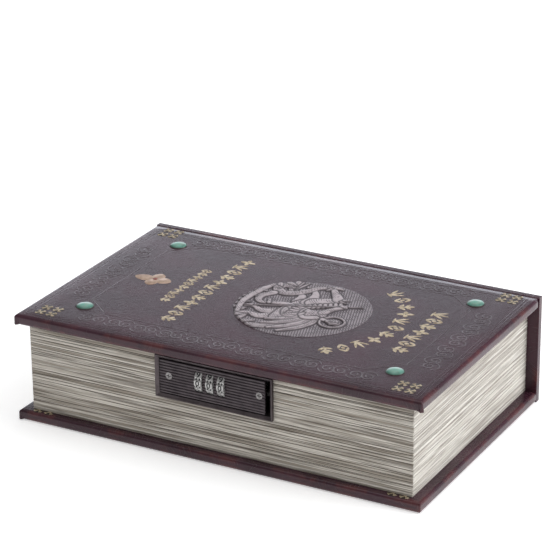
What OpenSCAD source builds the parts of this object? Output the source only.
// Book-shaped box with a three-wheel combination lock in its fore-edge.
// Origin: centre of the footprint on the table. +X runs along the fore-edge,
// +Y from the fore-edge to the spine, +Z up.

/* [Book] */
// Width of the covers along the fore-edge
cover_w = 260; // [240:1:300]
// Depth of the closed book from fore-edge to spine
cover_d = 165; // [155:1:200]
// Height over both covers, without the stones
book_h = 67; // [62:0.5:80]
// Thickness of each wrapped cover
board_t = 6.5; // [5.5:0.1:8]
// Thickness of the wrapped spine
spine_t = 5; // [4:0.1:7]
// How far the covers stand out past the page block at the sides
side_overhang = 7.2; // [4:0.1:10]
// How far the covers stand out past the page block at the front
front_overhang = 4.8; // [4.6:0.1:8]

/* [Box] */
// Thickness of the box walls
wall_t = 5; // [4:0.1:6]
// Thickness of the page-edge panels
page_t = 1; // [0.6:0.1:1.2]
// Thickness of the felt linings
felt_t = 0.8; // [0.5:0.1:1]
// Thickness of the leatherette
wrap_t = 0.6; // [0.4:0.1:0.8]
// Gap between the page block and the closed lid
lid_gap = 0.2; // [0.1:0.1:0.5]

/* [Stones] */
// Distance of the stones from the middle of the lid, along X
stone_x = 100; // [80:1:106]
// Distance of the stones from the middle of the book, along Y
stone_y = 53.5; // [40:0.5:60]
// Radius of each stone
stone_r = 5; // [4:0.1:8]
// Height of each stone above the lid
stone_h = 1.5; // [0.8:0.1:2.5]

/* [Lock] */
// Width of the bezel
bezel_w = 75; // [75:0.5:78]
// Height of the bezel
bezel_h = 25.6; // [25.6:0.1:26.4]
// How far the bezel stands out from the page block
bezel_proud = 2.2; // [1.8:0.1:2.4]
// Travel of the face plate
plate_travel = 2.8; // [2.6:0.1:2.8]
// Number of ribs on the face plate
rib_count = 12; // [8:1:16]

/* [Number wheels] */
// Radius of each wheel
wheel_r = 8; // [7.6:0.1:8]
// Width of each wheel
wheel_w = 4.4; // [4:0.1:4.6]
// Distance from one wheel to the next
wheel_pitch = 7.2; // [7.2:0.1:7.4]
// Places on each wheel
wheel_places = 10; // [8:1:12]

/* [Hidden] */
$fn = 48;

// Covers and spine
cover_x = cover_w / 2;
front_y = -cover_d / 2;
back_y = cover_d / 2;
spine_y = back_y - spine_t;
lid_z = book_h - board_t;
edge_ease = 1.4;
core_ease = edge_ease - (2 - sqrt(2)) * wrap_t;
hinge_gap = 2;
lid_back_y = spine_y - hinge_gap;

// Page block and walls: each value is the outer face
page_x = cover_x - side_overhang;
page_y = front_y + front_overhang;
wall_x = page_x - page_t;
wall_y = page_y + page_t;
inner_x = wall_x - wall_t;
inner_y = wall_y + wall_t;
inner_back_y = spine_y - wall_t;
wall_z = lid_z - lid_gap;
lining_z = wall_z - 0.8;
lid_felt_margin = 1;
lid_felt_x = inner_x - felt_t - lid_felt_margin;
lid_felt_y = inner_y + felt_t + lid_felt_margin;
lid_felt_back_y = inner_back_y - felt_t - lid_felt_margin;
lid_felt_z = lid_z - 0.6;

// Lock housing
sheet_t = 0.8;
lap = 1;
lock_z = lid_z - 13.8;
bezel_y = page_y - bezel_proud;
bore_x = bezel_w / 2 - 2;
bore_h = bezel_h - 4;
case_x = bore_x + sheet_t;
case_h = bore_h + 2 * sheet_t;
cutout_x = bezel_w / 2 - lap;
cutout_h = bezel_h - 2 * lap;
back_plate_t = 1.2;
case_back_y = page_y + 18.5;
lock_back_y = case_back_y + back_plate_t;
post_x = bore_x - 3;
post_h = 3;
post_y = case_back_y - 10;

// Carriage: everything that slides with the face plate
plate_y = bezel_y + 1;
plate_t = 1.6;
rib_depth = 0.6;
plate_left = -bore_x + 0.5;
plate_right = bore_x - plate_travel - 0.2;
plate_h = bore_h - 0.8;
plate_screw_x = 29;
cradle_y = plate_y + plate_t;
cradle_t = 1;
cradle_h = 18;
cheek_back_y = case_back_y - 4.6;
cheek_low = -9;
cheek_high = 8.2;
strip_t = 1.2;
sink_gap = 0.04;
latch_screw_x = [plate_left + 16.3, plate_right - 17.8];

// Wheels on the spindle: the middle wheel sits left of the lock's centre
axle_y = plate_y - 1.5 + wheel_r;
axle_z = lock_z + 0.8;
wheel_x = [for (i = [-1:1]) -2.5 + i * wheel_pitch];
window_w = 4.8;
window_h = 11.8;
wheel_play = 0.5;
divider_t = 1.2;
sleeve_r = 5.2;
sleeve_bore_r = 4;
web_t = 1;
spindle_r = 1.8;
running_gap = 0.05;
fin_r = 3.6;
fin_w = 1.2;
fin_t = 0.8;
gate_r = 3.9;
gate_w = 1.6;

// Latch: each hook's leg stands right of the place and its nose left of it
hook_x = [-23, 22];
hook_half_w = 3;
hook_t = 1.6;
hook_y = case_back_y - 2.8;
hook_low_z = lid_z - 9.5;
nose_h = 2;
tongue_z = hook_low_z + nose_h + 0.4;
tongue_clear = 0.8;
tongue_len = 5.2;
staple_t = 1.2;
staple_z = lid_felt_z - staple_t;
staple_x = 29;
staple_y = [hook_y - 6, hook_y + 6];
swing_room = 1.6;

// Strap and code-setting lever
strap_h = 8;
strap_t = 1;
strap_x = cutout_x + 1.2;
ear_x = strap_x + 12.5;
strap_screw_x = strap_x + 6.5;
lever_z = lock_z - 7.2;
lever_x = -3;
lever_travel = 3;

// ---------- shared shapes ----------

// Box between a low and a high corner
module block(lo, hi) {
    translate(lo) cube(hi - lo);
}

// Rectangle from the origin with its corners cut at 45 degrees
module eased_outline(w, h, ease) {
    polygon([
        [ease, 0], [w - ease, 0], [w, ease], [w, h - ease],
        [w - ease, h], [ease, h], [0, h - ease], [0, ease]
    ]);
}

// Box between two corners with all twelve edges eased
module eased_block(lo, hi, ease) {
    size = hi - lo;
    intersection() {
        translate(lo) linear_extrude(size.z) eased_outline(size.x, size.y, ease);
        translate(lo) rotate([90, 0, 90])
            linear_extrude(size.x) eased_outline(size.y, size.z, ease);
        translate([lo.x, hi.y, lo.z]) rotate([90, 0, 0])
            linear_extrude(size.y) eased_outline(size.x, size.z, ease);
    }
}

// Upright-faced box around the lock's centre line, from y0 to y1
module lock_block(half_w, h, y0, y1) {
    block([-half_w, y0, lock_z - h / 2], [half_w, y1, lock_z + h / 2]);
}

// Cylinder along X from x0 to x1, on the spindle's line
module along_spindle(x0, x1, r) {
    translate([x0, axle_y, axle_z]) rotate([0, 90, 0]) cylinder(h = x1 - x0, r = r);
}

// Screw with a countersunk head, pointing along +Z, its head's face at z = 0
module sunk_screw(head_r, shank_r, length) {
    head_h = head_r - shank_r;
    difference() {
        union() {
            cylinder(h = head_h, r1 = head_r, r2 = shank_r);
            cylinder(h = length, r = shank_r);
        }
        for (turn = [0, 90]) rotate(turn)
            translate([-head_r * 0.6, -0.25, -1]) cube([head_r * 1.2, 0.5, 1.6]);
    }
}

// Countersunk hole for such a screw, with a little room round it
module countersink(head_r, shank_r, depth) {
    head_h = head_r - shank_r;
    translate([0, 0, -0.01])
        cylinder(h = head_h, r1 = head_r + sink_gap, r2 = shank_r + sink_gap);
    translate([0, 0, -1]) cylinder(h = depth + 1, r = shank_r + sink_gap);
}

// Screw with a round head standing on z = 0, its shank along +Z
module pan_screw(head_r, shank_r, length) {
    head_h = head_r * 0.6;
    difference() {
        union() {
            translate([0, 0, -head_h]) cylinder(h = head_h, r1 = head_r * 0.7, r2 = head_r);
            cylinder(h = length, r = shank_r);
        }
        for (turn = [0, 90]) rotate(turn)
            translate([-head_r * 0.5, -0.25, -head_h - 1]) cube([head_r, 0.5, 1.6]);
    }
}

// ---------- covers ----------

module base_board() {
    color("burlywood")
        eased_block([-cover_x + wrap_t, front_y + wrap_t, wrap_t],
                    [cover_x - wrap_t, spine_y - wrap_t, board_t - wrap_t], core_ease);
}

// Leatherette round the base, turned in under the walls
module base_wrap() {
    color([0.30, 0.19, 0.21]) difference() {
        eased_block([-cover_x, front_y, 0], [cover_x, spine_y, board_t], edge_ease);
        base_board();
        block([-inner_x, inner_y, board_t - 2 * wrap_t], [inner_x, inner_back_y, board_t + 1]);
    }
}

module spine_board() {
    color("burlywood")
        eased_block([-cover_x + wrap_t, spine_y, wrap_t],
                    [cover_x - wrap_t, back_y - wrap_t, book_h - wrap_t], core_ease);
}

// Leatherette over the outside and the edges of the spine
module spine_wrap() {
    color([0.30, 0.19, 0.21]) difference() {
        eased_block([-cover_x, spine_y, 0], [cover_x, back_y, book_h], edge_ease);
        spine_board();
    }
}

// Cloth strip that closes the gap between the spine and the lid
module hinge_cloth() {
    color([0.28, 0.17, 0.19])
        block([-cover_x + 1, spine_y - hinge_gap + 0.3, book_h - edge_ease - 0.6],
              [cover_x - 1, spine_y, book_h - edge_ease]);
}

module lid_board() {
    color("burlywood")
        eased_block([-cover_x + wrap_t, front_y + wrap_t, lid_z + wrap_t],
                    [cover_x - wrap_t, lid_back_y - wrap_t, book_h - wrap_t], core_ease);
}

// Leatherette round the lid, turned in around the lining
module lid_wrap() {
    color([0.40, 0.35, 0.38]) difference() {
        eased_block([-cover_x, front_y, lid_z], [cover_x, lid_back_y, book_h], edge_ease);
        lid_board();
        block([-lid_felt_x, lid_felt_y, lid_z - 1],
              [lid_felt_x, lid_felt_back_y, lid_z + 2 * wrap_t]);
    }
}

module lid_lining() {
    color([0.20, 0.13, 0.12])
        block([-lid_felt_x, lid_felt_y, lid_felt_z],
              [lid_felt_x, lid_felt_back_y, lid_z + wrap_t]);
}

// ---------- box ----------

// Opening for the lock, through everything from y0 to y1
module lock_cutout(y0, y1) {
    lock_block(cutout_x, cutout_h, y0, y1);
}

module front_wall() {
    color("tan") difference() {
        block([-wall_x, wall_y, board_t], [wall_x, inner_y, wall_z]);
        lock_cutout(wall_y - 1, inner_y + 1);
        for (side = [-1, 1]) translate([side * strap_screw_x, inner_y + 1, lock_z])
            rotate([90, 0, 0]) cylinder(h = wall_t, r = 1.1);
    }
}

// Left or right wall, between the front and the back wall
module side_wall(side) {
    color("tan")
        block([side > 0 ? inner_x : -wall_x, inner_y, board_t],
              [side > 0 ? wall_x : -inner_x, inner_back_y, wall_z]);
}

module left_wall() { side_wall(-1); }

module right_wall() { side_wall(1); }

module back_wall() {
    color("tan") block([-wall_x, inner_back_y, board_t], [wall_x, spine_y, wall_z]);
}

module front_pages() {
    color([0.65, 0.61, 0.55]) difference() {
        block([-page_x, page_y, board_t], [page_x, wall_y, wall_z]);
        lock_cutout(page_y - 1, wall_y + 1);
    }
}

module side_pages(side) {
    color([0.84, 0.82, 0.78])
        block([side > 0 ? wall_x : -page_x, wall_y, board_t],
              [side > 0 ? page_x : -wall_x, spine_y, wall_z]);
}

module left_pages() { side_pages(-1); }

module right_pages() { side_pages(1); }

module floor_lining() {
    color([0.20, 0.13, 0.12])
        block([-inner_x, inner_y, board_t - wrap_t],
              [inner_x, inner_back_y, board_t + felt_t]);
}

// Felt on the front wall, left and right of the lock
module front_lining() {
    color([0.20, 0.13, 0.12]) for (side = [-1, 1])
        block([side > 0 ? ear_x + 1 : -inner_x + felt_t, inner_y, board_t + felt_t],
              [side > 0 ? inner_x - felt_t : -ear_x - 1, inner_y + felt_t, lining_z]);
}

module side_lining(side) {
    color([0.20, 0.13, 0.12])
        block([side > 0 ? inner_x - felt_t : -inner_x, inner_y, board_t + felt_t],
              [side > 0 ? inner_x : -inner_x + felt_t, inner_back_y, lining_z]);
}

module left_lining() { side_lining(-1); }

module right_lining() { side_lining(1); }

module back_lining() {
    color([0.20, 0.13, 0.12])
        block([-inner_x + felt_t, inner_back_y - felt_t, board_t + felt_t],
              [inner_x - felt_t, inner_back_y, lining_z]);
}

// ---------- lock, fixed parts ----------

// Bezel in front of the pages, and the sheet case behind it
module lock_housing() {
    color([0.26, 0.21, 0.21]) difference() {
        union() {
            difference() {
                lock_block(bezel_w / 2, bezel_h, bezel_y, page_y);
                bezel_slope();
            }
            lock_block(case_x, case_h, page_y, case_back_y);
        }
        difference() {
            lock_block(bore_x, bore_h, bezel_y - 1, case_back_y + 1);
            for (side = [-1, 1], end = [-1, 1]) case_post(side, end);
        }
        along_spindle(-case_x - 1, case_x + 1, spindle_r);
        for (x = hook_x) hook_slot(x);
        for (side = [-1, 1], end = [-1, 1])
            translate([side * (post_x + 1.5), case_back_y + 1, post_screw_z(end)])
                rotate([90, 0, 0]) cylinder(h = 7, r = 0.6);
    }
}

// Inward slope of the bezel's rim: a frustum that narrows from the lip to the bore
module bezel_slope() {
    lip = [bezel_w / 2 - 0.4, bezel_h / 2 - 0.4];
    bore = [bore_x, bore_h / 2];
    depth = bezel_proud - 0.6;
    translate([0, bezel_y - 0.01, lock_z]) intersection() {
        translate([0, 0, -lip.y]) linear_extrude(2 * lip.y)
            polygon([[-lip.x, 0], [lip.x, 0], [bore.x, depth], [-bore.x, depth]]);
        rotate([90, 0, 90]) translate([0, 0, -lip.x]) linear_extrude(2 * lip.x)
            polygon([[0, -lip.y], [0, lip.y], [depth, bore.y], [depth, -bore.y]]);
    }
}

// Height of the screw in the upper (end = 1) or lower (end = -1) posts
function post_screw_z(end) = lock_z + end * (bore_h - post_h) / 2;

// Post in a corner of the case that a back-plate screw bites into
module case_post(side, end) {
    block([side > 0 ? post_x : -bore_x, post_y, post_screw_z(end) - post_h / 2],
          [side > 0 ? bore_x : -post_x, case_back_y, post_screw_z(end) + post_h / 2]);
}

// Slot in the case's roof that a hook drops through and swings out of
module hook_slot(x) {
    block([x - hook_half_w - 0.6, hook_y - hook_t / 2 - swing_room, lock_z],
          [x + hook_half_w + 0.6, hook_y + hook_t / 2 + 0.6, lock_z + case_h]);
}

module lock_back_plate() {
    color([0.30, 0.26, 0.26]) difference() {
        lock_block(case_x, case_h, case_back_y, lock_back_y);
        block([lever_x - 1.4, case_back_y - 1, lever_z - 0.9],
              [lever_x + lever_travel + 1.4, lock_back_y + 1, lever_z + 0.9]);
        for (side = [-1, 1], end = [-1, 1])
            translate([side * (post_x + 1.5), lock_back_y + 1, post_screw_z(end)])
                rotate([90, 0, 0]) cylinder(h = 4, r = 0.7);
    }
}

module back_plate_screws() {
    color("silver") for (side = [-1, 1], end = [-1, 1])
        translate([side * (post_x + 1.5), lock_back_y, post_screw_z(end)])
            rotate([90, 0, 0]) pan_screw(1.3, 0.6, 5);
}

// Steel strap that holds the housing back against the front wall
module lock_strap() {
    low = lock_z - strap_h / 2;
    high = lock_z + strap_h / 2;
    color("gainsboro") difference() {
        union() {
            block([-strap_x, inner_y, low], [strap_x, lock_back_y + strap_t, high]);
            for (side = [-1, 1])
                block([side > 0 ? strap_x : -ear_x, inner_y, low],
                      [side > 0 ? ear_x : -strap_x, inner_y + strap_t, high]);
        }
        block([-cutout_x, inner_y - 1, low - 1], [cutout_x, lock_back_y, high + 1]);
        for (side = [-1, 1]) translate([side * strap_screw_x, inner_y + 2, lock_z])
            rotate([90, 0, 0]) cylinder(h = 3, r = 1.3);
    }
}

module strap_screws() {
    color("silver") for (side = [-1, 1])
        translate([side * strap_screw_x, inner_y + strap_t, lock_z])
            rotate([90, 0, 0]) pan_screw(2.6, 1.1, strap_t + wall_t - 1);
}

// Fixed spindle: each fin stands beside its sleeve's web at either end of the travel
module spindle() {
    color("silver") {
        along_spindle(-case_x, case_x, spindle_r);
        for (x = wheel_x) translate([x + plate_travel / 2, axle_y, axle_z])
            block([-fin_t / 2, spindle_r - 0.4, -fin_w / 2], [fin_t / 2, fin_r, fin_w / 2]);
    }
}

module spindle_rings() {
    color("dimgray") for (x = [-bore_x, bore_x - 0.8]) difference() {
        along_spindle(x, x + 0.8, spindle_r + 1.6);
        along_spindle(x - 1, x + 2, spindle_r);
    }
}

// Lever that frees the wheels from their sleeves to set a new code
module reset_lever() {
    color("dimgray") translate([lever_x, 0, lever_z]) {
        block([-3, case_back_y - 1.4, -2.1], [3, case_back_y - 0.2, 2.1]);
        block([-1, case_back_y - 0.3, -0.7], [1, lock_back_y + 0.3, 0.7]);
        block([-3, lock_back_y + 0.2, -2.1], [3, lock_back_y + 1.2, 2.1]);
        block([-0.6, lock_back_y + 1.1, -2.1], [0.6, lock_back_y + 2, 2.1]);
    }
}

// ---------- lock, carriage ----------

// Outline of the ribbed plate seen along X: y to the right, z up
module rib_outline() {
    pitch = plate_h / rib_count;
    crest = 0.4 * pitch;
    ribs = [for (i = [0:rib_count - 1]) each [
        [rib_depth, i * pitch + 0.1 * pitch], [0, i * pitch + (pitch - crest) / 2],
        [0, i * pitch + (pitch + crest) / 2], [rib_depth, i * pitch + 0.9 * pitch]
    ]];
    polygon(concat(ribs, [[plate_t, plate_h - 0.1 * pitch], [plate_t, 0.1 * pitch]]));
}

module face_plate() {
    color([0.29, 0.25, 0.26]) difference() {
        translate([plate_left, plate_y, lock_z - plate_h / 2]) rotate([90, 0, 90])
            linear_extrude(plate_right - plate_left) rib_outline();
        for (x = wheel_x) {
            block([x - window_w / 2, plate_y - 1, axle_z - window_h / 2],
                  [x + window_w / 2, cradle_y + 1, axle_z + window_h / 2]);
            along_spindle(x - window_w / 2, x + window_w / 2, wheel_r + wheel_play);
        }
        for (side = [-1, 1]) translate([side * plate_screw_x, plate_y, axle_z])
            rotate([-90, 0, 0]) {
                countersink(2.1, 1.1, plate_t + 1);
                translate([0, 0, -1]) cylinder(h = 1, r = 2.1 + sink_gap);
            }
    }
}

module plate_screws() {
    color("silver") for (side = [-1, 1])
        translate([side * plate_screw_x, plate_y, axle_z])
            rotate([-90, 0, 0]) sunk_screw(2.1, 1.1, 4);
}

// Carrier behind the face plate: front web, two cheeks and a divider each side of a wheel
module wheel_cradle() {
    left = plate_left + 2;
    right = plate_right - 1.5;
    color([0.45, 0.43, 0.42]) difference() {
        union() {
            block([left, cradle_y, lock_z - cradle_h / 2],
                  [right, cradle_y + cradle_t, lock_z + cradle_h / 2]);
            block([left + 2, cradle_y, axle_z + cheek_low],
                  [wheel_x[0] - 6.3, cheek_back_y, axle_z + cheek_high]);
            block([wheel_x[2] + 6.3, cradle_y, axle_z + cheek_low],
                  [right - 2, cheek_back_y, axle_z + cheek_high]);
            for (i = [0:3]) translate([wheel_x[0] + (i - 0.5) * wheel_pitch, 0, axle_z])
                block([-divider_t / 2, cradle_y, -6], [divider_t / 2, axle_y + 5, 6]);
        }
        for (x = wheel_x)
            along_spindle(x - window_w / 2, x + window_w / 2, wheel_r + wheel_play);
        block([left - 1, axle_y - 2.2, axle_z - 2.2], [right + 1, cheek_back_y + 1, axle_z + 2.2]);
        for (side = [-1, 1]) translate([side * plate_screw_x, cradle_y - 1, axle_z])
            rotate([-90, 0, 0]) cylinder(h = 5, r = 1.1);
        for (x = latch_screw_x) translate([x, cheek_back_y + 1, axle_z - 5])
            rotate([90, 0, 0]) cylinder(h = 5, r = 0.9);
    }
}

// Leaf with one finger under each wheel, fixed below the cheeks
module detent_spring() {
    leaf_z = axle_z + cheek_low;
    color("gainsboro") {
        block([wheel_x[0] - 9, axle_y + 3, leaf_z - 0.4], [wheel_x[2] + 9, axle_y + 6, leaf_z]);
        for (x = wheel_x) {
            block([x - 1.4, axle_y - 2, leaf_z - 0.4], [x + 1.4, axle_y + 3.1, leaf_z]);
            translate([x - 1.4, axle_y, leaf_z]) rotate([0, 90, 0]) cylinder(h = 2.8, r = 0.7);
        }
    }
}

// Strip across the backs of the cheeks, with a tongue to the left of each hook
module latch_bar() {
    strip_high = axle_z + 1;
    left = hook_x[0] - hook_half_w - tongue_clear - tongue_len;
    color("gainsboro") difference() {
        union() {
            block([left, cheek_back_y, axle_z - 7],
                  [plate_right - 5, cheek_back_y + strip_t, strip_high]);
            for (x = hook_x) {
                tip = x - hook_half_w - tongue_clear;
                block([tip - tongue_len, cheek_back_y, strip_high - 0.1],
                      [tip - tongue_len + 3, cheek_back_y + strip_t, tongue_z + strip_t]);
                block([tip - tongue_len, cheek_back_y, tongue_z],
                      [tip, hook_y + hook_t / 2 + 0.2, tongue_z + strip_t]);
            }
        }
        for (x = latch_screw_x) translate([x, cheek_back_y + strip_t + 1, axle_z - 5])
            rotate([90, 0, 0]) cylinder(h = 5, r = 0.9);
    }
}

module latch_screws() {
    color("silver") for (x = latch_screw_x)
        translate([x, cheek_back_y + strip_t, axle_z - 5])
            rotate([90, 0, 0]) pan_screw(1.8, 0.9, 4);
}

// ---------- lock, wheels ----------

// Wheel number i, with a finger notch between each two places
module number_wheel(i) {
    x0 = wheel_x[i] - wheel_w / 2;
    color([0.83, 0.84, 0.85]) difference() {
        along_spindle(x0, x0 + wheel_w, wheel_r);
        along_spindle(x0 - 1, x0 + wheel_w + 1, sleeve_r);
        for (k = [0:wheel_places - 1]) translate([x0 - 1, axle_y, axle_z])
            rotate([(k + 0.5) * 360 / wheel_places, 0, 0]) translate([0, -wheel_r - 0.35, 0])
                rotate([0, 90, 0]) cylinder(h = wheel_w + 2, r = 0.9, $fn = 24);
    }
}

module number_wheel_1() { number_wheel(0); }

module number_wheel_2() { number_wheel(1); }

module number_wheel_3() { number_wheel(2); }

// Sleeve number i, with a gate in its web that lets the fin through at the code
module code_sleeve(i) {
    x0 = wheel_x[i] - wheel_w / 2;
    x1 = x0 + wheel_w;
    web_x0 = wheel_x[i] - web_t / 2;
    color("goldenrod") difference() {
        along_spindle(x0, x1, sleeve_r);
        along_spindle(x0 - 1, web_x0, sleeve_bore_r);
        along_spindle(web_x0 + web_t, x1 + 1, sleeve_bore_r);
        along_spindle(x0, x1, spindle_r + running_gap);
        translate([wheel_x[i], axle_y, axle_z])
            block([-web_t, 0, -gate_w / 2], [web_t, gate_r, gate_w / 2]);
    }
}

module code_sleeve_1() { code_sleeve(0); }

module code_sleeve_2() { code_sleeve(1); }

module code_sleeve_3() { code_sleeve(2); }

// ---------- lid fittings ----------

// Plate under the lid with two hooks that the tongues slide over
module staple_plate() {
    color("gainsboro") difference() {
        union() {
            block([-staple_x, staple_y[0], staple_z], [staple_x, staple_y[1], lid_felt_z]);
            for (x = hook_x) translate([x, hook_y, 0]) {
                block([0, -hook_t / 2, hook_low_z], [hook_half_w, hook_t / 2, staple_z + 0.1]);
                block([-hook_half_w, -hook_t / 2, hook_low_z],
                      [0.1, hook_t / 2, hook_low_z + nose_h]);
            }
        }
        for (x = [-14, 14], y = staple_y) staple_hole(x, y);
    }
}

// Countersunk hole in the staple plate, 3 mm in from the edge at y
module staple_hole(x, y) {
    translate([x, y > hook_y ? y - 3 : y + 3, staple_z]) countersink(1.8, 0.9, 3);
}

module staple_screws() {
    color("silver") for (x = [-14, 14], y = staple_y)
        translate([x, y > hook_y ? y - 3 : y + 3, staple_z])
            sunk_screw(1.8, 0.9, staple_t + 0.5);
}

// Low domed stone on the lid
module stone(side_x, side_y) {
    dome_r = (pow(stone_r, 2) + pow(stone_h, 2)) / (2 * stone_h);
    dome_angle = asin(stone_r / dome_r);
    arc = [for (i = [0:6]) let (a = dome_angle * (1 - i / 6))
        [dome_r * sin(a), stone_h - dome_r * (1 - cos(a))]];
    color([0.35, 0.60, 0.52]) translate([side_x * stone_x, side_y * stone_y, book_h])
        rotate_extrude() polygon(concat([[0, 0]], arc));
}

module stone_front_left() { stone(-1, -1); }

module stone_front_right() { stone(1, -1); }

module stone_back_left() { stone(-1, 1); }

module stone_back_right() { stone(1, 1); }

module stone_rims() {
    color([0.12, 0.33, 0.27]) for (side_x = [-1, 1], side_y = [-1, 1])
        translate([side_x * stone_x, side_y * stone_y, book_h]) difference() {
            cylinder(h = 0.6, r1 = stone_r + 1, r2 = stone_r + 0.6);
            translate([0, 0, -1]) cylinder(h = 3, r = stone_r);
        }
}

base_board();
base_wrap();
spine_board();
spine_wrap();
hinge_cloth();
front_wall();
left_wall();
right_wall();
back_wall();
front_pages();
left_pages();
right_pages();
floor_lining();
front_lining();
left_lining();
right_lining();
back_lining();
lock_housing();
lock_back_plate();
back_plate_screws();
lock_strap();
strap_screws();
spindle();
spindle_rings();
reset_lever();
face_plate();
plate_screws();
wheel_cradle();
detent_spring();
latch_bar();
latch_screws();
number_wheel_1();
number_wheel_2();
number_wheel_3();
code_sleeve_1();
code_sleeve_2();
code_sleeve_3();
lid_board();
lid_wrap();
lid_lining();
staple_plate();
staple_screws();
stone_front_left();
stone_front_right();
stone_back_left();
stone_back_right();
stone_rims();
